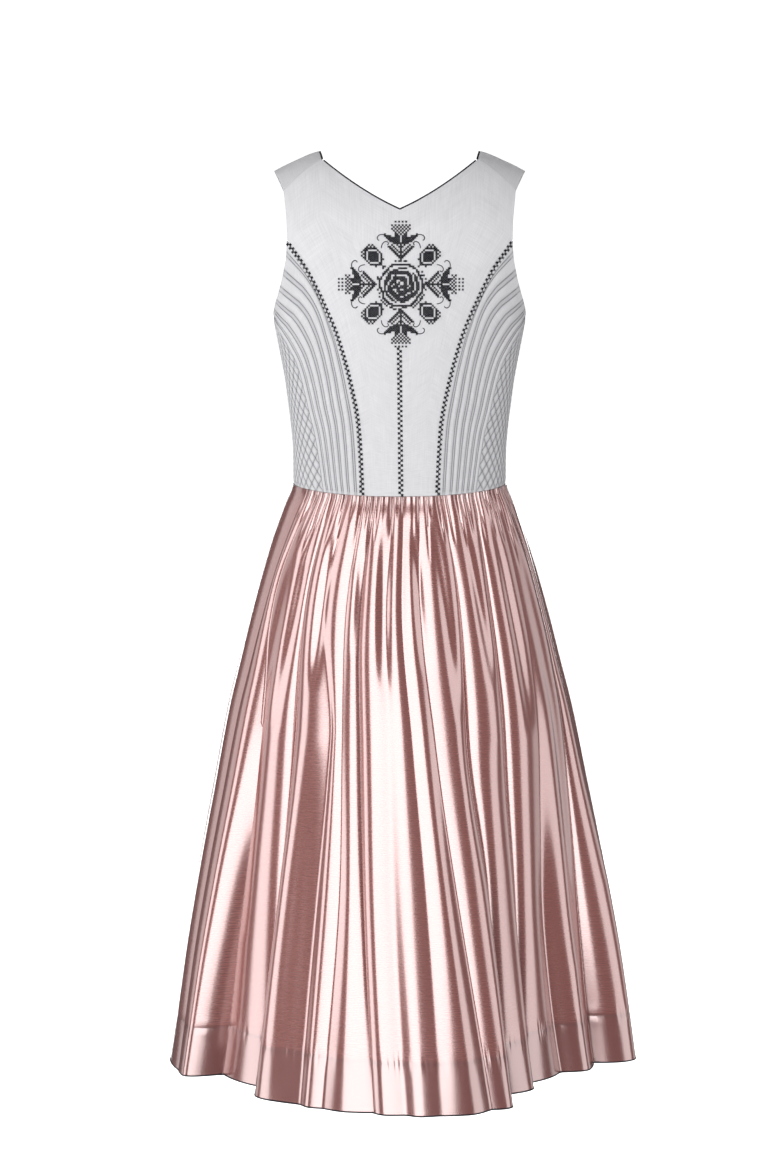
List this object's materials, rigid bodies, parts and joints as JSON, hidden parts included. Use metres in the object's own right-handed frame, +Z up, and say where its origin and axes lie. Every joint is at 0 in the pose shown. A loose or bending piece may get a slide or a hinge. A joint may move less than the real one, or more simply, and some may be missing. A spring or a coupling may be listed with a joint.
{
  "type": "dirndl",
  "caption": "Sleeveless dirndl dress in its worn, hollow shape, with a quilted linen bodice, a gathered satin skirt and piped neck and hem.",
  "frame": {"origin": "midway between the wearer's shoulders, at the height where the shoulders carry the dress", "axes": "+Z up along the body, -Y towards the back of the dress, which the picture shows, and +X to the right of someone looking at that back"},
  "size_m": [0.5927, 0.4794, 1.1404],
  "materials": {
    "linen": "pale grey-white plain-weave linen, matt, stitched and padded at the sides",
    "piping": "black cotton piping, slight sheen",
    "satin": "dusty rose satin, glossy, with fine crosswise slubs"
  },
  "bodies": {
    "root": {"back_panel": "linen", "side_panel_right": "linen", "side_panel_left": "linen", "front_right": "linen", "front_left": "linen", "neck_piping_back": "piping", "neck_piping_right": "piping", "neck_piping_left": "piping", "skirt_back": "satin", "skirt_front": "satin", "hem_piping_back": "piping", "hem_piping_front": "piping"}
  },
  "joints": []
}
